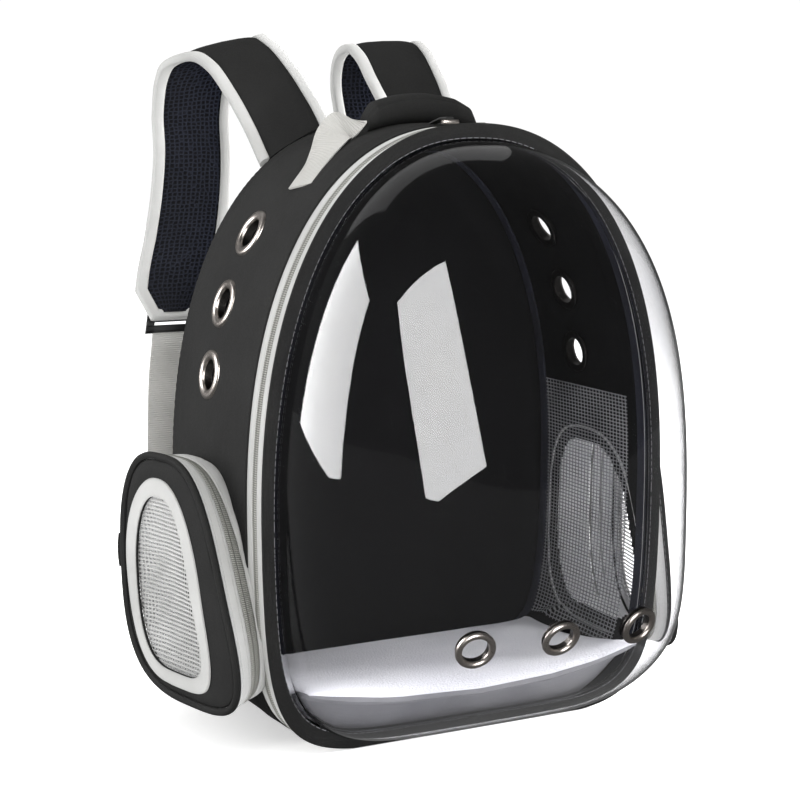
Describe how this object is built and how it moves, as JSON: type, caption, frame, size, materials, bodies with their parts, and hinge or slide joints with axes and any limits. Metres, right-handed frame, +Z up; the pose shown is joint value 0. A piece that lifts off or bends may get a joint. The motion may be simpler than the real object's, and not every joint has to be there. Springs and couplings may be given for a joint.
{
  "type": "pet carrier backpack",
  "caption": "Soft backpack for carrying a small pet, with a clear domed door, metal vent rings, zipped side pods with net windows, padded shoulder straps and a grab handle.",
  "frame": {"origin": "middle of the flat underside of the body, under the middle of its depth", "axes": "+Z up, the clear dome looks along -Y, the back panel and straps are at +Y, +X is the right side seen from the dome"},
  "size_m": [0.4212, 0.4062, 0.4918],
  "materials": {
    "black_cloth": "black woven polyester cloth",
    "black_mesh": "black spacer mesh over foam",
    "grey_tape": "light grey woven tape",
    "grey_webbing": "light grey ribbed webbing",
    "zip_coil": "olive grey nylon coil",
    "gunmetal": "polished gunmetal plating",
    "clear_plastic": "clear moulded plastic",
    "light_net": "light grey net",
    "dark_net": "dark grey square net",
    "plush": "white short plush",
    "black_plastic": "black moulded plastic"
  },
  "bodies": {
    "root": {"gusset": "black_cloth", "back_panel": "black_cloth", "back_seam_binding": "black_cloth", "front_binding": "black_cloth", "front_tape": "grey_tape", "main_zip_chain": "zip_coil", "rear_tape": "grey_tape", "dome": "clear_plastic", "side_grommet_left_upper": "gunmetal", "side_grommet_left_middle": "gunmetal", "side_grommet_left_lower": "gunmetal", "side_grommet_right_upper": "gunmetal", "side_grommet_right_middle": "gunmetal", "side_grommet_right_lower": "gunmetal", "dome_grommet_left": "gunmetal", "dome_grommet_middle": "gunmetal", "dome_grommet_right": "gunmetal", "pod_base_band_left": "grey_tape", "pod_zip_chain_left": "zip_coil", "pod_face_band_left": "grey_tape", "pod_piping_left": "black_cloth", "pod_face_left": "black_cloth", "pod_trim_left": "grey_tape", "pod_net_left": "light_net", "pod_tab_left": "black_cloth", "pod_base_band_right": "grey_tape", "pod_zip_chain_right": "zip_coil", "pod_face_band_right": "grey_tape", "pod_piping_right": "black_cloth", "pod_face_right": "black_cloth", "pod_trim_right": "grey_tape", "pod_net_right": "light_net", "pod_tab_right": "black_cloth", "side_net_left": "dark_net", "side_net_right": "dark_net", "floor_pad": "plush", "strap_pad_left": "black_mesh", "strap_binding_left": "grey_tape", "strap_adjuster_left": "black_plastic", "strap_webbing_left": "grey_webbing", "strap_pad_right": "black_mesh", "strap_binding_right": "grey_tape", "strap_adjuster_right": "black_plastic", "strap_webbing_right": "grey_webbing", "handle_grip": "black_cloth", "handle_webbing_right": "grey_webbing", "handle_webbing_tail": "grey_webbing", "main_zip_slider": "black_plastic", "main_zip_pull": "black_plastic"}
  },
  "joints": []
}
